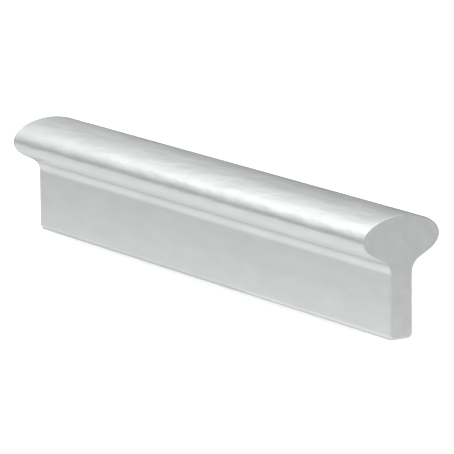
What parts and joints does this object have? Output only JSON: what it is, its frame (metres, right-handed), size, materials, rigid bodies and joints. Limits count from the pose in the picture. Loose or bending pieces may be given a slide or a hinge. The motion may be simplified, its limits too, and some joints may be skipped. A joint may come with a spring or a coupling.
{
  "type": "cabinet pull",
  "caption": "Straight aluminium cabinet pull of solid T section: an elliptical grip head on a flat stem with hollow necks, and tapped holes in its foot for screws from behind.",
  "frame": {"origin": "centre of the foot face, which lies against the cabinet front", "axes": "+X along the pull, +Y across the head, +Z away from the cabinet front, from the foot face to the head's crown"},
  "size_m": [0.138, 0.02, 0.0265],
  "materials": {
    "anodised_aluminium": "satin silver anodised, with matter sawn ends"
  },
  "bodies": {
    "root": {"pull": "anodised_aluminium"}
  },
  "joints": []
}
